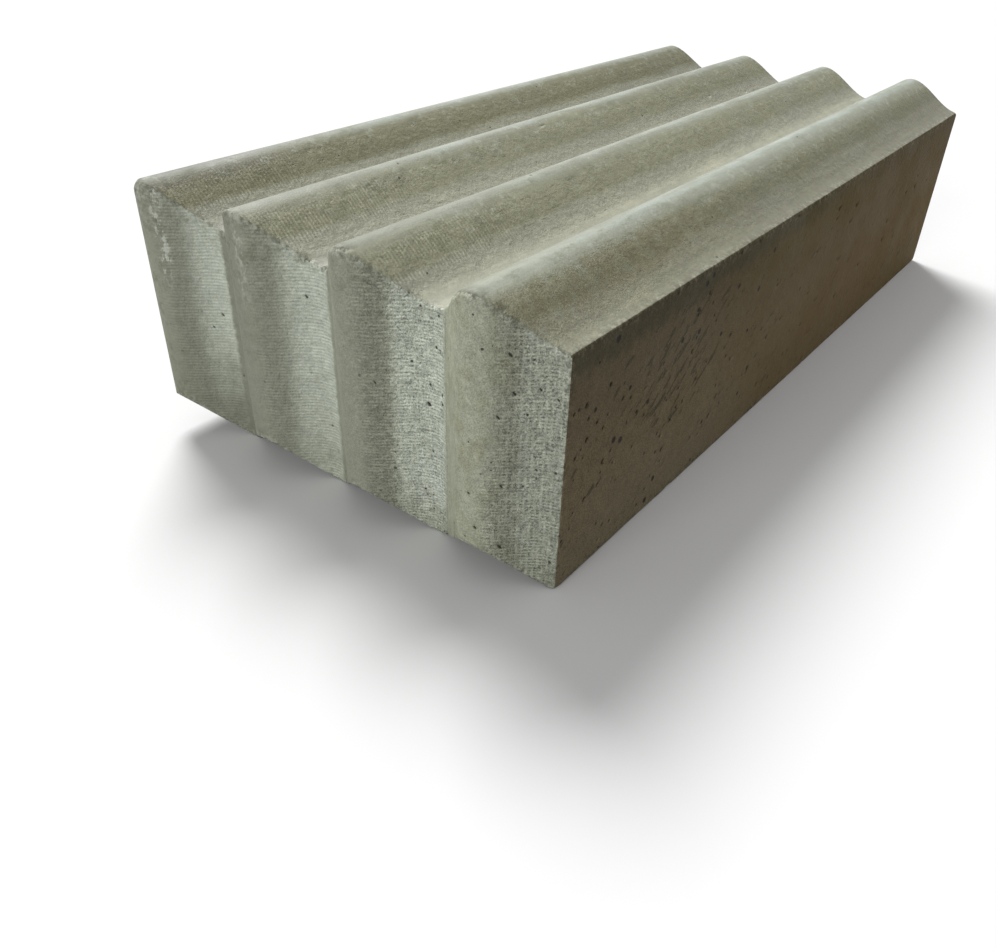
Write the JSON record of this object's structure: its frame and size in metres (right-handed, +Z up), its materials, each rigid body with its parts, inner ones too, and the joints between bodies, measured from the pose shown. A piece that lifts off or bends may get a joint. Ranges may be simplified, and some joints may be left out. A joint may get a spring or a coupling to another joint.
{
  "type": "interlocking barite concrete shielding block",
  "caption": "Heavy concrete block with waved beds and waved ends that nest in courses and end to end, and two flat wall faces.",
  "frame": {"origin": "centre of the block's footprint, at the height of the lowest ridges of the lower bed", "axes": "+Y along the ridges, from the front end to the back end; +X across the wall, towards the flat face where the waves end in a trough; +Z up, towards the upper bed"},
  "size_m": [0.14, 0.3114, 0.0791],
  "materials": {
    "concrete": "as-cast, fine mould ribs, small blowholes"
  },
  "bodies": {
    "root": {"concrete_block": "concrete"}
  },
  "joints": []
}
